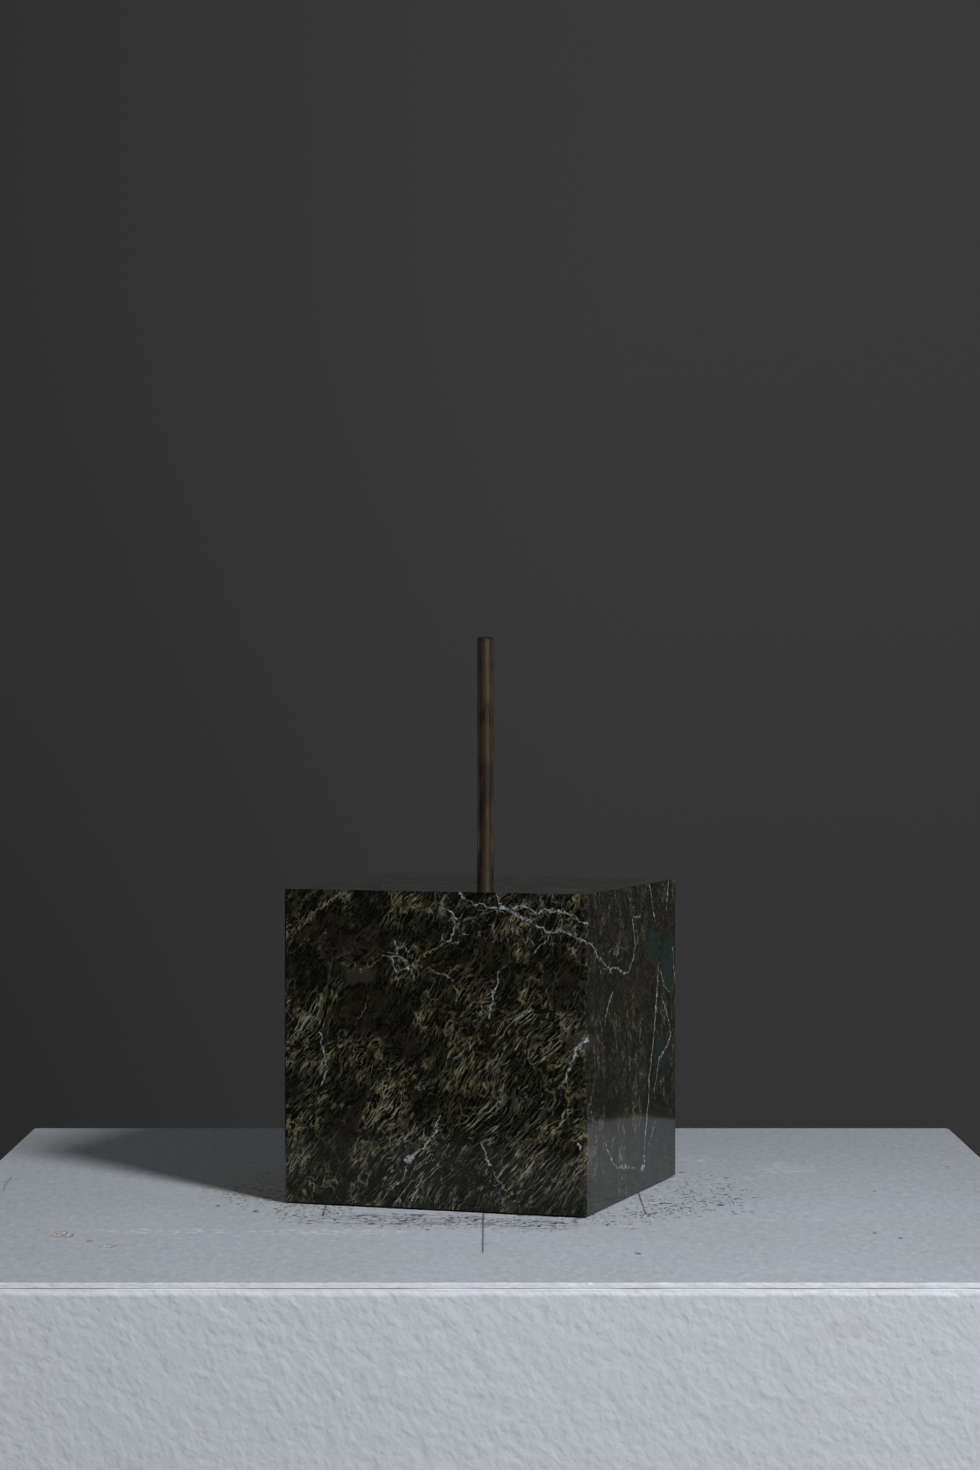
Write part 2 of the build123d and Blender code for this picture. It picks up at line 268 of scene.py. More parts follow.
# millimetres in the block's own axes: x to its right, y to its back, z up from its underside
stoneLook = {
    "turn": -19.0,  # degrees
    "rimRadius": 5.4,
    "ground": (0.0024, 0.0023, 0.0012),
    "shade": (0.0085, 0.0075, 0.0045),
    "olive": (0.034, 0.034, 0.017),
    "brown": (0.016, 0.0125, 0.0088),
    "oliveStrand": (0.15, 0.15, 0.075),
    "tan": (0.235, 0.195, 0.12),
    "pale": (0.25, 0.245, 0.19),
    "greyGreen": (0.15, 0.165, 0.13),
    "rust": (0.042, 0.031, 0.024),
    "white": (0.42, 0.45, 0.45),
    "teal": (0.012, 0.034, 0.027),
    "roughness": 0.07,
    "polish": 1.3,  # index of refraction
    # each set's lean in degrees from the upright, stretch, scale, count, thickness, breaks and shift
    "strands": {
        "web": (26, 3.0, 0.16, 3.0, 0.06, 0.38, 11.0),
        "closeWeb": (34, 4.6, 0.4, 3.0, 0.09, 0.46, 71.0),
        "hairs": (38, 8.0, 0.5, 3.0, 0.11, 0.46, 53.0),
        "longHairs": (41, 12.0, 0.52, 3.0, 0.1, 0.46, 97.0),
        "paleWeb": (26, 2.6, 0.085, 4.0, 0.04, 0.45, 31.0),
    },
    "frontThinning": 0.72,  # share of each vein's width that is drawn
    "rightThinning": 0.55,
    # white veins on the front: half width, then points (x, z)
    "frontVeins": [
        (0.22, (13.1, 148.1), (16.9, 143.8), (23.8, 141.9), (36.9, 141.0)),
        (0.42, (36.9, 141.0), (43.8, 136.9), (57.5, 130.0)),
        (0.34, (57.5, 130.0), (63.8, 131.3), (75.0, 125.6)),
        (0.24, (36.9, 141.0), (45.0, 142.5), (50.0, 139.0), (55.6, 140.6), (66.3, 139.1), (75.0, 134.4)),
        (0.14, (31.3, 148.8), (33.1, 142.5)),
        (0.26, (8.8, 139.4), (11.3, 134.4), (10.0, 129.4), (6.9, 125.0)),
        (0.16, (57.5, 130.0), (56.3, 126.3), (48.8, 120.0)),
        (0.13, (-20.0, 125.0), (-17.3, 120.6), (-17.5, 117.3)),
        (0.14, (-20.0, 115.6), (-18.8, 110.6), (-13.8, 111.0), (-11.5, 114.4), (-15.0, 117.3),
         (-20.0, 117.3), (-20.0, 115.6)),
        (0.26, (33.1, 111.3), (32.3, 106.3), (29.4, 100.0), (28.5, 90.0)),
        (0.12, (40.0, 88.1), (42.5, 91.3), (48.0, 94.4)),
        (0.9, (75.0, 81.9), (70.6, 76.3)),
        (0.45, (70.6, 76.3), (67.5, 70.0), (64.4, 60.6)),
        (1.3, (-12.9, 22.0), (-11.5, 23.5)),
        (0.24, (-11.5, 23.5), (-3.1, 30.0), (1.3, 36.3), (3.5, 43.8)),
        (0.16, (-18.1, 10.0), (-15.0, 13.1), (-12.5, 20.0)),
        (0.16, (-12.5, 2.5), (-8.8, 6.9), (-4.4, 10.0)),
        (0.26, (24.4, 31.9), (26.3, 26.3), (28.8, 21.3)),
        (0.18, (-56.3, 80.0), (-54.4, 70.0), (-53.1, 63.8), (-55.6, 56.3)),
        (0.5, (71.0, 32.5), (72.6, 31.6)),
    ],
    "frontCream": [
        (0.2, (31.3, 140.6), (16.9, 135.0), (11.3, 131.3)),
        (0.2, (6.9, 125.0), (0.0, 120.6), (-10.0, 114.4)),
        (0.25, (-20.0, 117.3), (-25.0, 117.3), (-31.3, 112.5), (-36.3, 110.0)),
        (0.25, (-11.5, 113.8), (-5.0, 113.1), (7.5, 108.8), (12.5, 101.3)),
        (0.9, (-72.5, 126.3), (-65.0, 131.3), (-59.8, 136.5)),
        (0.18, (-59.8, 136.5), (-50.0, 143.8), (-45.0, 147.5)),
        (0.18, (-31.9, 97.5), (-35.6, 90.0), (-38.1, 85.0)),
        (0.2, (28.8, 21.3), (36.3, 8.8)),
    ],
    # white veins on the right side: half width, then points (y, z)
    "rightVeins": [
        (0.35, (27.5, 147.5), (32.5, 138.8), (38.1, 127.5)),
        (0.6, (61.3, 146.3), (58.8, 138.8), (57.5, 132.5)),
        (0.5, (-1.3, 131.9), (2.5, 125.0), (3.1, 120.0), (0.0, 112.5)),
        (0.24, (0.0, 112.5), (-6.3, 108.1), (-15.0, 106.9), (-21.3, 109.4), (-40.0, 112.0), (-55.0, 117.0),
         (-66.3, 124.5), (-75.0, 126.0)),
        (0.3, (1.3, 133.1), (12.5, 132.5)),
        (0.35, (-33.8, 100.0), (-42.5, 92.5), (-45.6, 86.3)),
        (0.55, (43.8, 107.5), (41.3, 96.3), (37.5, 80.0), (31.3, 62.5), (26.9, 52.5)),
        (0.7, (26.9, 52.5), (26.9, 45.0), (21.3, 27.5), (18.8, 18.8), (19.4, 11.3)),
        (0.22, (5.0, 11.9), (-12.5, 15.0), (-27.5, 16.3), (-37.5, 22.5), (-45.0, 30.0)),
        (1.8, (14.5, 11.0), (18.5, 10.5)),
        (0.22, (27.5, 21.3), (33.8, 26.3), (38.8, 31.9)),
        (0.4, (50.0, 90.0), (56.3, 85.0), (66.3, 71.3), (56.3, 64.4), (45.0, 61.3), (36.3, 46.3)),
        (0.22, (46.3, 105.0), (55.0, 95.0), (63.8, 91.9)),
        (0.25, (68.8, 113.8), (71.3, 102.5), (74.0, 95.0)),
        (0.6, (-76.0, 83.0), (-72.0, 81.0)),
    ],
    # centre and radii of the near-black clearings and of the crackled, rust and teal patches
    "clearings": [
        ((-45.0, -75.0, 124.0), (24.0, 18.0, 14.0)), ((-33.0, -75.0, 91.0), (12.0, 12.0, 9.0)),
        ((6.0, -75.0, 20.0), (15.0, 14.0, 16.0)), ((-45.0, -75.0, 37.0), (8.0, 10.0, 9.0)),
        ((64.0, -75.0, 102.0), (8.0, 10.0, 12.0)), ((34.0, -75.0, 83.0), (8.0, 10.0, 7.0)),
        ((28.0, -75.0, 119.0), (8.0, 9.0, 8.0)), ((-14.0, -75.0, 78.0), (7.0, 9.0, 6.0)),
        ((75.0, 18.0, 100.0), (10.0, 20.0, 15.0)),
    ],
    "streaky": [
        ((45.0, -75.0, 28.0), (34.0, 20.0, 30.0)), ((-15.0, -75.0, 25.0), (26.0, 20.0, 26.0)),
        ((50.0, -75.0, 75.0), (22.0, 20.0, 24.0)), ((-62.0, -75.0, 70.0), (12.0, 20.0, 26.0)),
    ],
    "crackled": [
        ((45.0, -75.0, 135.0), (34.0, 16.0, 13.0)), ((10.0, -75.0, 132.0), (9.0, 12.0, 12.0)),
        ((-16.0, -75.0, 117.0), (9.0, 10.0, 9.0)), ((75.0, -45.0, 116.0), (10.0, 30.0, 8.0)),
    ],
    "rustSpots": [
        ((-37.5, -75.0, 106.5), (7.5, 6.0, 4.6)), ((38.8, -75.0, 3.0), (3.5, 4.0, 4.0)),
        ((72.0, -72.0, 79.0), (9.0, 14.0, 4.0)), ((41.0, -75.0, 50.0), (2.0, 4.0, 6.0)),
    ],
    "tealSpots": [
        ((75.0, 34.0, 116.0), (10.0, 12.0, 9.0)), ((75.0, 60.0, 106.0), (10.0, 14.0, 14.0)),
        ((75.0, 50.0, 62.0), (10.0, 10.0, 9.0)),
    ],
}


# the coordinates and noise fields that the strands and the veins share
def stoneFields(tree, local):
    # the pattern wanders by a few millimetres, so that no line in it is straight
    def wander(scale, detail, amount):
        off = vectorCalc(tree, "SUBTRACT", noise(tree, local, scale, detail, out="Color"), (0.5, 0.5, 0.5))
        return vectorCalc(tree, "MULTIPLY", off, (amount, amount, amount))
    fine = wander(0.3, 4.0, 3.6)
    slow = vectorCalc(tree, "ADD", wander(0.03, 1.0, 11.0), wander(0.12, 1.0, 2.2))
    bent = vectorCalc(tree, "ADD", slow, local)
    bent = vectorCalc(tree, "ADD", bent, vectorCalc(tree, "MULTIPLY", fine, (0.22, 0.22, 0.22)))
    warped = vectorCalc(tree, "ADD", bent, fine)
    across = addNode(tree, "ShaderNodeSeparateXYZ", {0: local}).outputs
    return {
        "local": local, "bent": bent, "warped": warped,
        "wiggled": vectorCalc(tree, "ADD", vectorCalc(tree, "MULTIPLY", fine, (1.5, 1.5, 1.5)), local),
        "grit": noise(tree, warped, 0.5, 5.0, 0.75),
        "cloud": noise(tree, warped, 0.16, 5.0, 0.72),
        "tint": noise(tree, local, 0.05, 2.0),
        "front": ease(tree, across[1], -70.0, -74.0),
        "right": ease(tree, across[0], 70.0, 74.0),
        "height": across[2],
    }


# the ground, its clearings and the thin strands over them
def stoneStrands(tree, look, fields):
    bent, warped, local = fields["bent"], fields["warped"], fields["local"]
    grit, cloud, right = fields["grit"], fields["cloud"], fields["right"]

    # each set of strands leans its own way from the upright towards the right
    def strands(lean, stretch, scale, count, thickness, breaks, shift):
        tilt = (radians(6), radians(lean), 0)
        leaning = place(tree, bent, (shift, shift * 2, shift * 3), tilt, (1, 1, stretch))
        return useGroup(tree, strandGroup, {"Vector": leaning, "Scale": scale, "Count": count,
                                            "Thickness": thickness, "Breaks": breaks})["Mask"]
    sets = {name: strands(*row) for name, row in look["strands"].items()}

    # where the strands gather and where the stone is clear
    gathered = ease(tree, noise(tree, warped, 0.06, 3.0, 0.6), 0.42, 0.6)
    cleared = spotsOf(tree, warped, look["clearings"], 2.4, 0.1)
    dense = times(tree, gathered, minus(tree, 1.0, times(tree, cleared, 0.92)))
    leaning = place(tree, bent, turn=(0, radians(36), 0), size=(1, 1, 2))
    clumps = ease(tree, noise(tree, leaning, 0.14, 3.0, 0.6), 0.4, 0.6)
    uneven = times(tree, plus(tree, times(tree, clumps, 0.75), 0.25), ease(tree, grit, 0.28, 0.6))
    uneven = times(tree, uneven, minus(tree, 1.0, times(tree, cleared, 0.5)))
    # the right side is patchier: broad upright bands with many strands or few
    bands = ease(tree, noise(tree, place(tree, warped, size=(1, 1, 2.2)), 0.06, 3.0, 0.6), 0.44, 0.6)
    bandShare = plus(tree, times(tree, bands, 1.15), 0.1)
    bandShare = addNode(tree, "ShaderNodeMix", {0: right, 2: 1.0, 3: bandShare}).outputs[0]
    uneven = times(tree, uneven, bandShare)

    # a mask's strength, from thin where the stone is clear to thick where strands gather
    def share(mask, thin, thick):
        amount = plus(tree, times(tree, dense, thick - thin), thin)
        return times(tree, times(tree, mask, amount), uneven)

    colour = blendColour(tree, ease(tree, cloud, 0.4, 0.72), look["ground"], look["shade"])
    colour = blendColour(tree, share(ease(tree, cloud, 0.46, 0.7), 0.06, 0.5), colour, look["olive"])
    brown = times(tree, cleared, times(tree, ease(tree, cloud, 0.35, 0.65), 0.6))
    colour = blendColour(tree, brown, colour, look["brown"])
    tanTone = blendColour(tree, ease(tree, fields["tint"], 0.42, 0.58), look["tan"], look["greyGreen"])
    mottle = times(tree, ease(tree, grit, 0.46, 0.7), plus(tree, times(tree, right, 0.2), 0.03))
    colour = blendColour(tree, mottle, colour, tanTone)
    colour = blendColour(tree, share(sets["web"], 0.18, 1.0), colour, look["oliveStrand"])
    colour = blendColour(tree, share(sets["closeWeb"], 0.05, 0.85), colour, tanTone)
    colour = blendColour(tree, share(sets["hairs"], 0.08, 1.0), colour, look["tan"])
    streaky = spotsOf(tree, local, look["streaky"], 0.8, 0.08)
    hairShare = times(tree, sets["longHairs"], plus(tree, times(tree, streaky, 0.85), 0.1))
    hairShare = times(tree, hairShare, plus(tree, times(tree, clumps, 0.7), 0.2))
    colour = blendColour(tree, hairShare, colour, look["pale"])
    return blendColour(tree, share(sets["paleWeb"], 0.3, 0.8), colour, look["pale"])


# rust and teal patches, the large veins drawn one by one, and the crackle beside them
def stoneVeins(tree, look, fields, colour):
    warped, local, grit = fields["warped"], fields["local"], fields["grit"]
    rust = spotsOf(tree, warped, look["rustSpots"], 1.1, 0.25)
    colour = tinted(tree, colour, rust, 0.6, look["rust"])
    teal = spotsOf(tree, warped, look["tealSpots"], 1.2, 0.12)
    colour = tinted(tree, colour, teal, 0.55, look["teal"])

    # the veins of the front and the right side, each kept to its own face
    def onFront(title, softness):
        vector = vectorCalc(tree, "MULTIPLY", fields["wiggled"], (1, 0, 1))
        rows = [(width * look["frontThinning"], *((x, 0.0, z) for x, z in points))
                for width, *points in look[title]]
        return times(tree, strokesOf(tree, vector, rows, softness), fields["front"])

    def onRight(title, softness):
        vector = vectorCalc(tree, "MULTIPLY", fields["wiggled"], (0, 1, 1))
        rows = [(width * look["rightThinning"], *((0.0, y, z) for y, z in points))
                for width, *points in look[title]]
        return times(tree, strokesOf(tree, vector, rows, softness), fields["right"])
    cream = onFront("frontCream", 0.25)
    white = calc(tree, "MAXIMUM", onFront("frontVeins", 0.2), onRight("rightVeins", 0.3))
    patchy = ease(tree, grit, 0.4, 0.62)
    colour = tinted(tree, colour, times(tree, cream, patchy), 0.8, look["tan"])
    patchy = plus(tree, times(tree, patchy, 0.8), 0.06)
    colour = blendColour(tree, times(tree, white, patchy), colour, look["white"])

    # crackle healed with white beside the large veins, and here and there on the other faces
    def crackle(scale, thin):
        edges = addNode(tree, "ShaderNodeTexVoronoi", {"Vector": warped, "Scale": scale},
                        feature="DISTANCE_TO_EDGE").outputs["Distance"]
        return ease(tree, edges, thin, thin * 0.25)
    zone = spotsOf(tree, local, look["crackled"], 1.4, 0.1)
    small = times(tree, crackle(0.15, 0.03), times(tree, zone, ease(tree, fields["cloud"], 0.46, 0.6)))
    otherFaces = minus(tree, 1.0, calc(tree, "MAXIMUM", fields["front"], fields["right"]))
    healed = times(tree, ease(tree, fields["tint"], 0.46, 0.56), otherFaces)
    large = times(tree, crackle(0.035, 0.02), healed)
    colour = tinted(tree, colour, small, 0.5, look["white"])
    return tinted(tree, colour, times(tree, large, patchy), 0.8, look["white"])


# the bruised rim round the rod's seat in the block's top
def seatRim(tree, look, fields, colour):
    flat = vectorCalc(tree, "MULTIPLY", fields["local"], (1, 1, 0))
    away = minus(tree, vectorCalc(tree, "LENGTH", flat, out="Value"), look["rimRadius"])
    rim = ease(tree, calc(tree, "ABSOLUTE", away), 1.5, 0.4)
    rim = times(tree, rim, ease(tree, fields["height"], 146.0, 147.5))
    rim = times(tree, rim, ease(tree, fields["grit"], 0.4, 0.55))
    return tinted(tree, colour, rim, 0.8, look["greyGreen"])


def stoneMaterial(look):
    made, tree, shader, where = newMaterial("polishedSerpentine")
    underside = (stoneCentre.x, stoneCentre.y, stoneLow.z)
    turned = (0, 0, radians(look["turn"]))
    local = place(tree, where, underside, turned, (millimetre, millimetre, millimetre))
    fields = stoneFields(tree, local)
    colour = stoneStrands(tree, look, fields)
    colour = stoneVeins(tree, look, fields, colour)
    colour = seatRim(tree, look, fields, colour)
    smear = noise(tree, local, 0.05, 3.0)
    rough = plus(tree, times(tree, smear, 0.05), look["roughness"] - 0.02)
    coat(tree, shader, colour, rough)
    shader.inputs["IOR"].default_value = look["polish"]
    return made


paint(stoneMaterial(stoneLook), "stone_block")
print("stone done")


# the painted board

paintLook = {
    "topBody": (0.60, 0.63, 0.685),
    "sideBody": (0.598, 0.616, 0.65),
    "grubby": (0.578, 0.607, 0.63),
    "dent": (0.43, 0.45, 0.47),
    "joint": (0.26, 0.18, 0.155),
    "bare": (0.42, 0.28, 0.2),
    "pencil": (0.045, 0.045, 0.05),
    "fleck": (0.07, 0.065, 0.06),
    "oliveFleck": (0.17, 0.14, 0.09),
    "chalk": (0.86, 0.87, 0.88),
    "roughness": 0.42,
}
sheetLow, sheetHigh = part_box("top_sheet")
jointLevel = sheetLow.z / millimetre


def paintTones(tree, local, look, body):
    grub = ease(tree, noise(tree, local, 0.012, 4.0, 0.6), 0.42, 0.66)
    tone = blendColour(tree, grub, look[body], look["grubby"])
    fine = noise(tree, local, 0.09, 3.0)
    return blendColour(tree, times(tree, ease(tree, fine, 0.5, 0.8), 0.25), tone, look["grubby"])


# centre (x, z) and radii of the faint stains on the front
frontStains = [((145, 981), (9, 4)), ((150, 952), (4, 3)), ((128, 948), (2.5, 2))]


def sideMaterial(look, stained):
    made, tree, shader, where = newMaterial("rolledWhiteSides")
    local = inMillimetres(tree, where)
    height = addNode(tree, "ShaderNodeSeparateXYZ", {0: local}).outputs[2]
    stipple = useGroup(tree, stippleGroup, {"Vector": local, "Scale": 0.33, "Dents": 0.5})
    colour = paintTones(tree, local, look, "sideBody")
    # painted shade: the stipple's dents are tinted darker
    colour = tinted(tree, colour, stipple["DentShade"], 0.3, look["dent"])
    # the hairline joint under the facing sheet, with dust in it where the paint has let go
    along = noise(tree, local, 0.02, 3.0)
    opened = ease(tree, along, 0.4, 0.56)
    line = times(tree, ease(tree, height, jointLevel - 0.35, jointLevel - 0.1),
                 plus(tree, times(tree, opened, 0.6), 0.08))
    colour = blendColour(tree, line, colour, look["joint"])
    # the lip below the joint: the panel's edge leans back a little, more in some places than in others, and
    # is painted paler there as a painted highlight where it catches the light
    ragged = times(tree, noise(tree, local, 0.09, 3.0, 0.6), 2.6)
    lip = ease(tree, plus(tree, height, ragged), jointLevel - 1.9, jointLevel + 0.6)
    # painted highlight on the lip below the joint
    colour = blendColour(tree, times(tree, lip, minus(tree, 0.6, line)), colour, look["chalk"])
    # scuffs and grime low down
    low = ease(tree, height, 90.0, 12.0)
    scuff = times(tree, low, ease(tree, noise(tree, local, 0.03, 5.0, 0.7), 0.45, 0.75))
    colour = tinted(tree, colour, scuff, 0.5, look["dent"])
    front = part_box("front_panel")[0].y / millimetre
    rows = [((x, front, z), (wide, 6, tall)) for (x, z), (wide, tall) in stained]
    stains = spotsOf(tree, local, rows, 1.4, 0.5)
    colour = tinted(tree, colour, stains, 0.13, look["bare"])
    rough = plus(tree, times(tree, noise(tree, local, 0.2, 2.0), 0.12), look["roughness"])
    coat(tree, shader, colour, rough)
    leaning = minus(tree, stipple["Height"], times(tree, lip, 0.9))
    bumpInto(tree, shader, leaning, 0.00045)
    return made


# what is on the top, in millimetres from its middle
topMarks = {
    # pencil lines: half width, then points
    "pencil": [
        (0.22, (-3.9, -55), (-4.0, -178)), (0.3, (-3.5, -156), (0.2, -151)),
        (0.24, (-78.3, -30), (-78.0, -72)), (0.3, (-78.0, -72), (-74.5, -75)),
        (0.22, (71.0, 20), (71.3, -66)),
    ],
    "faint": [(0.3, (-240, 61), (-239, 30), (-237, 8)), (0.3, (-242, 40), (-236, 52))],
    # centre and radii of chips, dots, scored patches and chalky patches
    "chips": [
        ((-193, -126), (3.5, 9)), ((-188, -131), (2.0, 5)), ((-178, -145), (1.6, 4)),
        ((-167, -160), (3.5, 4)), ((232, 93), (1.2, 6)), ((62, -110), (2.2, 3)),
    ],
    "dots": [
        ((171, -124), (1.0, 2.2)), ((181, -138), (1.2, 2.2)), ((-110, -58), (1.6, 3.0)),
        ((-55, -97), (1.5, 3.0)), ((186, 8), (1.0, 2.0)), ((63, -181), (1.4, 3.0)),
        ((108, -38), (1.8, 4.0)), ((-129, -41), (1.2, 2.5)),
    ],
    "scored": [((-38, -84), (48, 20)), ((20, -98), (26, 16))],
    "chalked": [
        ((150, 88), (16, 22)), ((108, 125), (8, 18)), ((-150, -118), (34, 9)), ((-75, -120), (40, 8)),
    ],
    "ringRadius": 108.0,  # where the block's corners have rubbed as it was turned
}


def topMaterial(look, marks):
    made, tree, shader, where = newMaterial("paintedTopSheet")
    local = inMillimetres(tree, where)
    unsteady = vectorCalc(tree, "SUBTRACT", noise(tree, local, 0.08, 2.0, out="Color"), (0.5, 0.5, 0.5))
    wiggled = vectorCalc(tree, "ADD", local, vectorCalc(tree, "MULTIPLY", unsteady, (0.8, 0.8, 0)))
    colour = paintTones(tree, local, look, "topBody")
    topHeight = sheetHigh.z / millimetre

    def lines(title, softness):
        rows = [(width, *((x, y, topHeight) for x, y in points)) for width, *points in marks[title]]
        return strokesOf(tree, wiggled, rows, softness)

    def patches(title, ragged, grain):
        rows = [((*centre, topHeight), (*radii, 3)) for centre, radii in marks[title]]
        return spotsOf(tree, local, rows, ragged, grain)

    # brushed-out texture, drawn out from side to side
    drawn = place(tree, local, size=(3.0, 1.0, 1.0))
    strokesHeight = noise(tree, drawn, 0.42, 3.0, 0.6)
    lumps = noise(tree, local, 0.3, 2.0)
    height = plus(tree, strokesHeight, times(tree, lumps, 0.6))
    grain = noise(tree, place(tree, local, size=(1.8, 4.5, 1.0)), 0.5, 4.0, 0.75)
    colour = tinted(tree, colour, ease(tree, grain, 0.5, 0.66), 0.5, look["dent"])
    colour = tinted(tree, colour, ease(tree, grain, 0.48, 0.34), 0.4, look["chalk"])

    # rubbed patches, chalky and grey
    rubbed = ease(tree, noise(tree, drawn, 0.03, 4.0, 0.65), 0.52, 0.75)
    colour = tinted(tree, colour, rubbed, 0.35, look["grubby"])

    # flecks and small cracks where the block has been turned, thickest on a ring round it
    fromBlock = (stoneCentre.x / millimetre, stoneCentre.y / millimetre, 0)
    flat = vectorCalc(tree, "MULTIPLY", vectorCalc(tree, "SUBTRACT", local, fromBlock), (1, 1, 0))
    radius = vectorCalc(tree, "LENGTH", flat, out="Value")
    offRing = calc(tree, "ABSOLUTE", minus(tree, radius, marks["ringRadius"]))
    near = ease(tree, plus(tree, offRing, times(tree, noise(tree, local, 0.03, 3.0), 50.0)), 60.0, 18.0)
    across = addNode(tree, "ShaderNodeSeparateXYZ", {0: local}).outputs
    forward = ease(tree, across[1], 60.0, -30.0)
    amount = times(tree, near, plus(tree, times(tree, forward, 0.72), 0.2))
    specks = useGroup(tree, speckGroup, {"Vector": wiggled, "Scale": 0.24, "Density": amount, "Size": 0.36})
    fine = useGroup(tree, speckGroup, {"Vector": wiggled, "Scale": 0.5, "Density": amount, "Size": 0.45})
    fleck = calc(tree, "MAXIMUM", specks["Mask"], fine["Mask"])
    fleckTone = blendColour(tree, specks["Shade"], look["fleck"], look["oliveFleck"])
    colour = tinted(tree, colour, fleck, 0.95, fleckTone)
    # short scratches in front of the block, running round it
    bentRound = place(tree, wiggled, (0, 0, 0), (0, 0, radians(14)), (5.0, 1.0, 1.0))
    scratches = useGroup(tree, strandGroup, {"Vector": bentRound, "Scale": 0.2, "Count": 5.0,
                                             "Thickness": 0.24, "Breaks": 0.44})["Mask"]
    scratches = times(tree, scratches, patches("scored", 0.8, 0.1))
    colour = tinted(tree, colour, scratches, 0.9, look["fleck"])

    # scattered chalk scuffs
    chalkGrit = noise(tree, place(tree, local, size=(2.4, 2.0, 1.0)), 0.5, 3.0, 0.6)
    chalkWhere = ease(tree, noise(tree, local, 0.014, 3.0), 0.5, 0.68)
    chalk = times(tree, ease(tree, chalkGrit, 0.6, 0.7), chalkWhere)
    chalked = times(tree, patches("chalked", 1.6, 0.12), ease(tree, chalkGrit, 0.48, 0.6))
    chalk = calc(tree, "MAXIMUM", chalk, chalked)
    colour = tinted(tree, colour, chalk, 0.85, look["chalk"])

    chips = patches("chips", 1.5, 0.6)
    baring = ease(tree, noise(tree, local, 0.5, 2.0), 0.45, 0.55)
    chipTone = blendColour(tree, baring, look["bare"], look["chalk"])
    colour = tinted(tree, colour, chips, 0.8, chipTone)
    colour = tinted(tree, colour, patches("dots", 1.2, 0.7), 0.75, look["fleck"])
    graphite = times(tree, ease(tree, noise(tree, local, 1.2, 2.0), 0.25, 0.5), 0.85)
    colour = blendColour(tree, times(tree, lines("pencil", 0.25), graphite), colour, look["pencil"])
    colour = tinted(tree, colour, lines("faint", 0.5), 0.35, look["pencil"])

    # the joint's upper lip, round the sheet's lower edge, and above it the sheet's edge, painted paler as a
    # painted highlight where it faces the light
    level = across[2]
    opened = ease(tree, noise(tree, local, 0.02, 3.0), 0.4, 0.56)
    # painted highlight: the sheet's edge band is tinted paler
    wearAndHighlight = ease(tree, level, jointLevel + 2.2, jointLevel + 1.5)
    colour = tinted(tree, colour, wearAndHighlight, 0.6, look["chalk"])
    line = times(tree, ease(tree, level, jointLevel + 0.2, jointLevel + 0.05),
                 plus(tree, times(tree, opened, 0.6), 0.08))
    colour = blendColour(tree, line, colour, look["joint"])

    rough = plus(tree, times(tree, rubbed, 0.15), look["roughness"] + 0.03)
    coat(tree, shader, colour, rough)
    sunk = plus(tree, times(tree, fleck, 0.8), times(tree, chips, 1.2))
    bumpInto(tree, shader, minus(tree, height, sunk), 0.0005)
    return made


paint(sideMaterial(paintLook, frontStains), "front_panel", "right_panel", "back_panel", "left_panel")
paint(topMaterial(paintLook, topMarks), "top_sheet")
print("paint done")


# wood, board, metal, plastic and felt

woodLook = {"early": (0.66, 0.47, 0.27), "late": (0.45, 0.26, 0.12), "roughness": 0.6,
            "rings": 14.0, "drawn": 12}
boardLook = {"fibre": (0.36, 0.23, 0.13), "dust": (0.5, 0.36, 0.22), "roughness": 0.8}
zincLook = {"light": (0.72, 0.73, 0.72), "cast": (0.62, 0.58, 0.46), "spot": (0.25, 0.23, 0.2),
            "roughness": 0.3}
rodLook = {"brown": (0.1, 0.072, 0.046), "dark": (0.036, 0.027, 0.02), "bright": (0.24, 0.17, 0.105),
           "roughness": 0.34, "metal": 0.75}
plasticLook = {"black": (0.018, 0.018, 0.019), "wearAndHighlight": (0.06, 0.06, 0.06), "roughness": 0.5}
feltLook = {"dark": (0.02, 0.022, 0.022), "fibre": (0.07, 0.075, 0.075), "roughness": 0.95, "sheen": 0.4}


# pine: the contour lines of a slow noise drawn out along the grain, with fine pores
def pineMaterial(name, grain, look):
    made, tree, shader, where = newMaterial(name)
    drawnOut = [look["drawn"] * millimetre if axis == grain else millimetre for axis in range(3)]
    local = place(tree, where, size=tuple(drawnOut))
    rings = times(tree, noise(tree, local, 0.05, 1.0, 0.4, 1.2), look["rings"])
    withinRing = calc(tree, "ABSOLUTE", minus(tree, calc(tree, "FRACT", rings), 0.5))
    late = ease(tree, withinRing, 0.12, 0.45)
    pores = noise(tree, local, 1.6, 3.0, 0.6)
    colour = blendColour(tree, late, look["late"], look["early"])
    colour = tinted(tree, colour, ease(tree, pores, 0.55, 0.7), 0.3, look["late"])
    coat(tree, shader, colour, look["roughness"])
    bumpInto(tree, shader, plus(tree, pores, late), 0.0001)
    return made


def boardMaterial(look):
    made, tree, shader, where = newMaterial("bareFibreboard")
    local = inMillimetres(tree, where)
    fibres = noise(tree, local, 1.1, 5.0, 0.75)
    cloud = noise(tree, local, 0.02, 3.0)
    colour = blendColour(tree, ease(tree, fibres, 0.35, 0.7), look["fibre"], look["dust"])
    colour = tinted(tree, colour, ease(tree, cloud, 0.45, 0.7), 0.3, look["fibre"])
    coat(tree, shader, colour, look["roughness"])
    bumpInto(tree, shader, fibres, 0.0001)
    return made


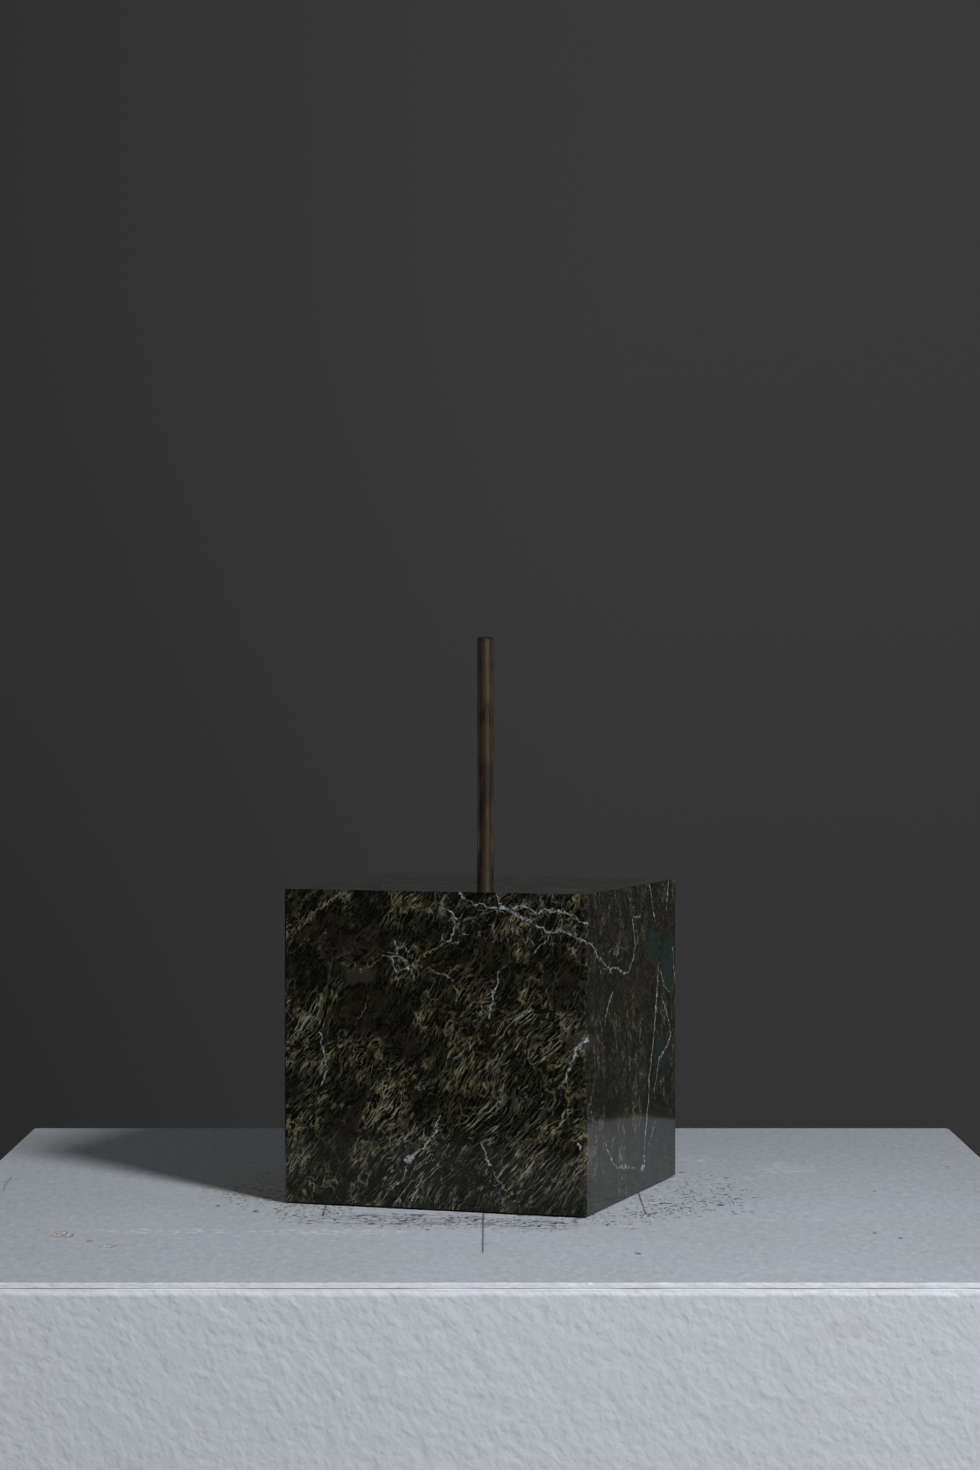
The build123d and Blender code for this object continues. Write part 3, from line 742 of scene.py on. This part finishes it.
def zincMaterial(look):
    made, tree, shader, where = newMaterial("brightZincPlate")
    local = inMillimetres(tree, where)
    cast = ease(tree, noise(tree, local, 0.08, 4.0, 0.6), 0.4, 0.65)
    colour = blendColour(tree, cast, look["light"], look["cast"])
    spots = ease(tree, noise(tree, local, 0.6, 3.0), 0.62, 0.75)
    colour = tinted(tree, colour, spots, 0.5, look["spot"])
    shader.inputs["Metallic"].default_value = 1.0
    rough = plus(tree, times(tree, noise(tree, local, 0.4, 3.0), 0.25), look["roughness"] - 0.08)
    coat(tree, shader, colour, rough)
    bumpInto(tree, shader, noise(tree, local, 2.5, 2.0), 0.00003)
    return made


# the rod: drawn steel with a brown patina, streaked along its length and rubbed brighter in places
def rodMaterial(look):
    made, tree, shader, where = newMaterial("brownPatinatedRod")
    local = inMillimetres(tree, where)
    streaks = noise(tree, place(tree, local, size=(1, 1, 14)), 1.3, 3.0, 0.6)
    cloud = noise(tree, place(tree, local, size=(1, 1, 2.5)), 0.16, 4.0, 0.6)
    pits = ease(tree, noise(tree, local, 1.8, 3.0), 0.6, 0.72)
    colour = blendColour(tree, ease(tree, cloud, 0.38, 0.62), look["brown"], look["dark"])
    colour = tinted(tree, colour, ease(tree, streaks, 0.5, 0.75), 0.4, look["bright"])
    colour = tinted(tree, colour, pits, 0.6, look["dark"])
    shader.inputs["Metallic"].default_value = look["metal"]
    rough = plus(tree, times(tree, cloud, 0.3), look["roughness"] - 0.12)
    coat(tree, shader, colour, rough)
    bumpInto(tree, shader, minus(tree, streaks, pits), 0.00004)
    return made


def plasticMaterial(look):
    made, tree, shader, where = newMaterial("blackMouldedPlastic")
    local = inMillimetres(tree, where)
    grain = noise(tree, local, 2.2, 2.0)
    dusty = ease(tree, noise(tree, local, 0.15, 4.0, 0.7), 0.5, 0.75)
    colour = blendColour(tree, times(tree, dusty, 0.6), look["black"], look["wearAndHighlight"])
    rough = plus(tree, times(tree, dusty, 0.25), look["roughness"])
    coat(tree, shader, colour, rough)
    bumpInto(tree, shader, grain, 0.00008)
    return made


def feltMaterial(look):
    made, tree, shader, where = newMaterial("woolFelt")
    local = inMillimetres(tree, where)
    hairs = useGroup(tree, strandGroup, {"Vector": local, "Scale": 0.5, "Count": 6.0, "Thickness": 0.3,
                                         "Breaks": 0.45})["Mask"]
    cross = useGroup(tree, strandGroup, {"Vector": place(tree, local, (7, 3, 5), (0, 0, 1.2)), "Scale": 0.6,
                                         "Count": 6.0, "Thickness": 0.25, "Breaks": 0.5})["Mask"]
    tangle = calc(tree, "MAXIMUM", hairs, cross)
    colour = blendColour(tree, times(tree, tangle, 0.8), look["dark"], look["fibre"])
    coat(tree, shader, colour, look["roughness"])
    shader.inputs["Sheen Weight"].default_value = look["sheen"]
    bumpInto(tree, shader, tangle, 0.00015)
    return made


pineX = pineMaterial("pineAlongX", 0, woodLook)
pineY = pineMaterial("pineAlongY", 1, woodLook)
pineZ = pineMaterial("pineUpright", 2, woodLook)
bareBoard = boardMaterial(boardLook)
zinc = zincMaterial(zincLook)
plastic = plasticMaterial(plasticLook)
felt = feltMaterial(feltLook)
corners = ("front_left", "front_right", "back_right", "back_left")
for level in ("top", "base"):
    paint(pineX, f"front_{level}_rail", f"back_{level}_rail")
    paint(pineY, f"left_{level}_rail", f"right_{level}_rail")
paint(pineZ, *(f"{corner}_post" for corner in corners))
paint(bareBoard, "base_board", "top_panel")
paint(zinc, "top_rail_screws", "base_rail_screws", "corner_post_screws", "base_board_screws", "tee_nuts",
      "tie_stud", "stud_washer", "stud_nut")
paint(rodMaterial(rodLook), "support_rod")
print("metal, wood and board done")


# new pieces, worked out as grids

# a closed skin over a grid of points, rows by columns, the columns going round;
# each end closes on its mean point
def skin(name, grid, material):
    rows, columns = grid.shape[:2]
    points = np.concatenate([grid.reshape(-1, 3), grid[0].mean(0)[None], grid[-1].mean(0)[None]])
    row, column = np.meshgrid(np.arange(rows - 1), np.arange(columns), indexing="ij")
    after = (column + 1) % columns
    quads = np.stack([row * columns + column, row * columns + after, (row + 1) * columns + after,
                      (row + 1) * columns + column], -1).reshape(-1, 4)
    ring = np.arange(columns)
    following = (ring + 1) % columns
    first = np.stack([following, ring, np.full(columns, rows * columns)], -1)
    last = np.stack([(rows - 1) * columns + ring, (rows - 1) * columns + following,
                     np.full(columns, rows * columns + 1)], -1)
    mesh = bpy.data.meshes.new(name)
    mesh.from_pydata(points.tolist(), [], quads.tolist() + first.tolist() + last.tolist())
    mesh.update()
    made = bpy.data.objects.new(name, mesh)
    scene.collection.objects.link(made)
    mesh.materials.append(material)
    return made


def smoothBelow(piece, degrees):
    piece.data.shade_smooth()
    piece.data.set_sharp_from_angle(angle=radians(degrees))


# metres, heights from the stem's underside; flank and crest shape the thread, cornerShare is the
# hexagon's corner against half its flats, closing is the radius where an end starts to close
footStem = {
    "radius": 0.005, "thread": 0.0006, "pitch": 0.0015, "flank": 2.6, "crest": 0.3,
    "flangeRadius": 0.0085, "flangeTop": 0.0044, "neck": 0.0012, "edge": 0.0003, "tip": 0.001,
    "hexFrom": 0.0077, "hexTo": 0.0127, "flats": 0.017, "cornerShare": 1.155, "closing": 0.002,
    "around": 48, "perPitch": 7,
}


# the stem is one skin r(angle, height): a flange, a neck, a hexagon, then a thread whose crest
# climbs one pitch a turn, r = radius - depth * (distance from the crest as a share of half a pitch)
def makeStem(corner, size, material):
    low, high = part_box(f"{corner}_foot_stem")
    centre = (low + high) / 2
    tall = high.z - low.z
    lying = (high.x - low.x) > (high.y - low.y)  # the hexagon's points lie along X
    angle = np.linspace(0, 2 * pi, size["around"], endpoint=False)
    threadFrom = size["hexTo"] + size["neck"]
    step = size["pitch"] / size["perPitch"]
    threadRows = np.arange(threadFrom, tall - size["tip"], step)
    edge = size["edge"]
    levels = np.concatenate([
        [0, 0, edge, size["flangeTop"] - edge, size["flangeTop"], size["flangeTop"], size["hexFrom"],
         size["hexFrom"], size["hexFrom"] + edge, size["hexTo"] - edge, size["hexTo"], size["hexTo"]],
        threadRows, [tall - size["tip"], tall, tall]])
    turn = 0.0 if lying else pi / 6
    sector = (angle - turn + pi / 6) % (pi / 3) - pi / 6
    hexRadius = size["flats"] / 2 / np.cos(sector - np.sign(sector) * pi / 6)
    radii = np.zeros((len(levels), len(angle)))
    radii[1:5] = size["flangeRadius"] - edge * np.array([1, 0, 0, 1])[:, None]
    radii[0] = size["closing"]
    radii[5:7] = size["radius"] - size["thread"]
    toCorner = size["flats"] / 2 * size["cornerShare"]
    radii[7:11] = np.minimum(hexRadius[None], toCorner - edge * np.array([1.4, 0, 0, 1.4])[:, None])
    radii[11] = size["radius"] - size["thread"]
    phase = (levels[12:-2, None] / size["pitch"] - angle[None] / (2 * pi)) % 1.0
    depth = size["thread"] * np.clip(np.abs(phase - 0.5) * size["flank"] - size["crest"], 0, 1)
    radii[12:-2] = size["radius"] - depth
    radii[-2] = size["radius"] - size["tip"]
    radii[-1] = size["closing"]
    grid = np.stack([centre.x + radii * np.cos(angle), centre.y + radii * np.sin(angle),
                     np.repeat(low.z + levels[:, None], len(angle), 1)], -1)
    stem = skin(f"{corner}_screw_stem", grid, material)
    smoothBelow(stem, 35)
    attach(stem, f"{corner}_stem")
    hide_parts(f"{corner}_foot_stem")


footPad = {
    "around": 72, "grooves": 4, "grooveFrom": 0.005, "grooveStep": 0.0034, "grooveDepth": 0.0006,
    "grooveWall": 0.0003, "grooveWidth": 0.0014, "lip": 0.0055, "lipHeight": 0.002, "well": 0.0088,
    "floor": 0.003, "closing": 0.001,
}


# the pad is a turned profile: grooved underside, upright side, sloping top,
# then the well for the stem's flange
def makePad(corner, size, material):
    low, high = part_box(f"{corner}_foot_pad")
    centre = (low + high) / 2
    outer = (high.x - low.x) / 2
    tall = high.z - low.z
    profile = [(size["closing"], 0.0)]
    wall, depth, lip = size["grooveWall"], size["grooveDepth"], size["lip"]
    for groove in range(size["grooves"]):
        at = size["grooveFrom"] + groove * size["grooveStep"]
        end = at + size["grooveWidth"]
        profile += [(at, 0.0), (at + wall, depth), (end - wall, depth), (end, 0.0)]
    profile += [(outer - 0.001, 0.0), (outer - 0.0003, 0.0003), (outer, 0.001), (outer, tall / 2 - 0.0004),
                (outer - 0.0004, tall / 2 + 0.0001), (outer - 0.0035, tall - 0.0006),
                (outer - 0.0045, tall),
                (lip + 0.0004, tall), (lip, tall - 0.0004), (lip, tall - size["lipHeight"]),
                (size["well"], tall - size["lipHeight"]), (size["well"], size["floor"]),
                (size["closing"], size["floor"])]
    profile = np.array(profile)
    angle = np.linspace(0, 2 * pi, size["around"], endpoint=False)
    grid = np.stack([centre.x + profile[:, :1] * np.cos(angle), centre.y + profile[:, :1] * np.sin(angle),
                     np.repeat(low.z + profile[:, 1:], len(angle), 1)], -1)
    pad = skin(f"{corner}_glide", grid, material)
    smoothBelow(pad, 35)
    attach(pad, f"{corner}_pad")
    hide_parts(f"{corner}_foot_pad")


for corner in corners:
    makeStem(corner, footStem, zinc)
    makePad(corner, footPad, plastic)
print("feet done")

# a higher squareness makes sharper corners; gap is the clearance over the top sheet
feltMat = {
    "side": 0.142, "thick": 0.00095, "squareness": 24, "waver": 0.0006, "waves": (7, 13, 23, 41, 67),
    "ripple": 0.00004, "gap": 0.00002, "around": 240, "seed": 5,
}


# the mat is a square outline, its edge wandering a little, carried in over the top and under to the middle
def makeMat(size, degrees, material):
    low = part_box("felt_mat")[0]
    turn = radians(degrees)
    angle = np.linspace(0, 2 * pi, size["around"], endpoint=False)
    half = size["side"] / 2 - size["waver"]
    power = size["squareness"]
    square = half / (np.abs(np.cos(angle)) ** power + np.abs(np.sin(angle)) ** power) ** (1 / power)
    draw = np.random.default_rng(size["seed"])
    waves = sum(np.sin(angle * count + draw.uniform(0, 2 * pi)) / count ** 0.5 for count in size["waves"])
    edge = square + size["waver"] * waves / 3.5
    shares = np.array([0.02, 0.35, 0.7, 0.9, 0.985, 1.0, 1.0, 0.985, 0.9, 0.7, 0.35, 0.02])
    heights = np.array([0, 0, 0, 0, 0, 0.25, 0.75, 1, 1, 1, 1, 1]) * size["thick"]
    sag = size["ripple"] * np.sin(angle * 9)[None] * np.sin(pi * shares)[:, None]
    x, y = shares[:, None] * edge * np.cos(angle), shares[:, None] * edge * np.sin(angle)
    z = low.z + size["gap"] + heights[:, None] + np.clip(sag, 0, 1) * (heights[:, None] > 0)
    grid = np.stack([stoneCentre.x + x * cos(turn) - y * sin(turn),
                     stoneCentre.y + x * sin(turn) + y * cos(turn), z], -1)
    mat = skin("felt_pad_under_stone", grid, material)
    smoothBelow(mat, 50)
    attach(mat, "mat")
    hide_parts("felt_mat")


makeMat(feltMat, stoneLook["turn"], felt)
print("mat done")


# stage, light and camera

stage = {
    "floorRadius": 3.2,
    "floorAround": 96,
    "floor": (0.62, 0.62, 0.61),
    "floorWorn": (0.5, 0.5, 0.5),
    "backdropDark": (0.0195, 0.0193, 0.0195),
    "backdropLight": (0.05, 0.0505, 0.0505),
    "keyFrom": (-0.098, -0.035),  # the key stands in line with this corner of the stone and its shadow
    "keyTurn": 38.5,  # degrees to the right of the front
    "keyRise": 30.1,
    "keyDistance": 2.6,
    "keySize": 0.5,
    "keySpread": 67.0,
    "keyPower": 8.9,
    "keyColour": (0.93, 0.968, 1.0),
    "fillColour": (1.0, 0.98, 0.94),
    "sideColour": (1.0, 0.99, 0.97),
}


def makeFloor(look):
    made, tree, shader, where = newMaterial("paleStudioFloor")
    soft = noise(tree, where, 1.5, 3.0)
    colour = blendColour(tree, times(tree, soft, 0.12), look["floor"], look["floorWorn"])
    coat(tree, shader, colour, 0.75)
    angle = np.linspace(0, 2 * pi, look["floorAround"], endpoint=False)
    rim = look["floorRadius"] * np.stack([np.cos(angle), np.sin(angle), 0 * angle], -1)
    mesh = bpy.data.meshes.new("floor")
    mesh.from_pydata(rim.tolist(), [], [list(range(look["floorAround"]))])
    mesh.materials.append(made)
    floor = bpy.data.objects.new("floor", mesh)
    scene.collection.objects.link(floor)


def makeLight(name, spot, target, power, size, colour, spread=180.0):
    lamp = bpy.data.lights.new(name, "AREA")
    lamp.spread = radians(spread)
    lamp.shape = "DISK"
    lamp.size = size
    lamp.energy = power
    lamp.color = colour
    made = bpy.data.objects.new(name, lamp)
    made.location = spot
    made.rotation_euler = (Vector(target) - Vector(spot)).to_track_quat("-Z", "Y").to_euler()
    scene.collection.objects.link(made)


topLevel = sheetHigh.z
makeFloor(stage)
middle = Vector((0.0, -0.1, topLevel))
turn, rise = radians(stage["keyTurn"]), radians(stage["keyRise"])
towardsKey = Vector((sin(turn) * cos(rise), -cos(turn) * cos(rise), sin(rise)))
keyPlace = Vector((*stage["keyFrom"], stoneHigh.z)) + stage["keyDistance"] * towardsKey
makeLight("key", keyPlace, middle, stage["keyPower"], stage["keySize"], stage["keyColour"],
          stage["keySpread"])
# name, place, target, power, size and colour; all but the fill stand below the top's level,
# so that they light only the sides and the back
softLights = [
    ("fill", (-1.2, -2.4, topLevel + 1.9), middle, 11.0, 2.2, stage["fillColour"]),
    ("left_side", (-2.5, 1.2, 0.6), (0, 0, 0.5), 5.0, 0.9, stage["sideColour"]),
    ("right_side", (2.5, 1.2, 0.6), (0, 0, 0.5), 5.0, 0.9, stage["sideColour"]),
    ("back", (0.0, 2.6, 0.35), (0, 0.25, 0.6), 4.0, 0.5, stage["sideColour"]),
]
for row in softLights:
    makeLight(*row)

world = bpy.data.worlds.new("studio")
scene.world = world
world.use_nodes = True
sky = world.node_tree
direction = addNode(sky, "ShaderNodeTexCoord").outputs["Generated"]
towards = addNode(sky, "ShaderNodeSeparateXYZ", {0: direction}).outputs
gradient = plus(sky, ease(sky, towards[0], -0.2, 0.05, 0.42), ease(sky, towards[2], -0.2, 0.14, 0.3))
shade = blendColour(sky, gradient, stage["backdropDark"], stage["backdropLight"])
sky.links.new(shade, sky.nodes["Background"].inputs["Color"])

view = {"lens": 83.46, "sensor": 36.0, "place": (-0.00075, -1.6439, topLevel + 0.2353), "pitch": 0.484}
camera = bpy.data.cameras.new("camera")
camera.sensor_fit = "VERTICAL"
camera.sensor_height = view["sensor"]
camera.lens = view["lens"]
cameraObject = bpy.data.objects.new("camera", camera)
cameraObject.location = view["place"]
cameraObject.rotation_euler = (radians(90 - view["pitch"]), 0, 0)
scene.collection.objects.link(cameraObject)
scene.camera = cameraObject
scene.view_settings.view_transform = "Standard"
print("stage done")
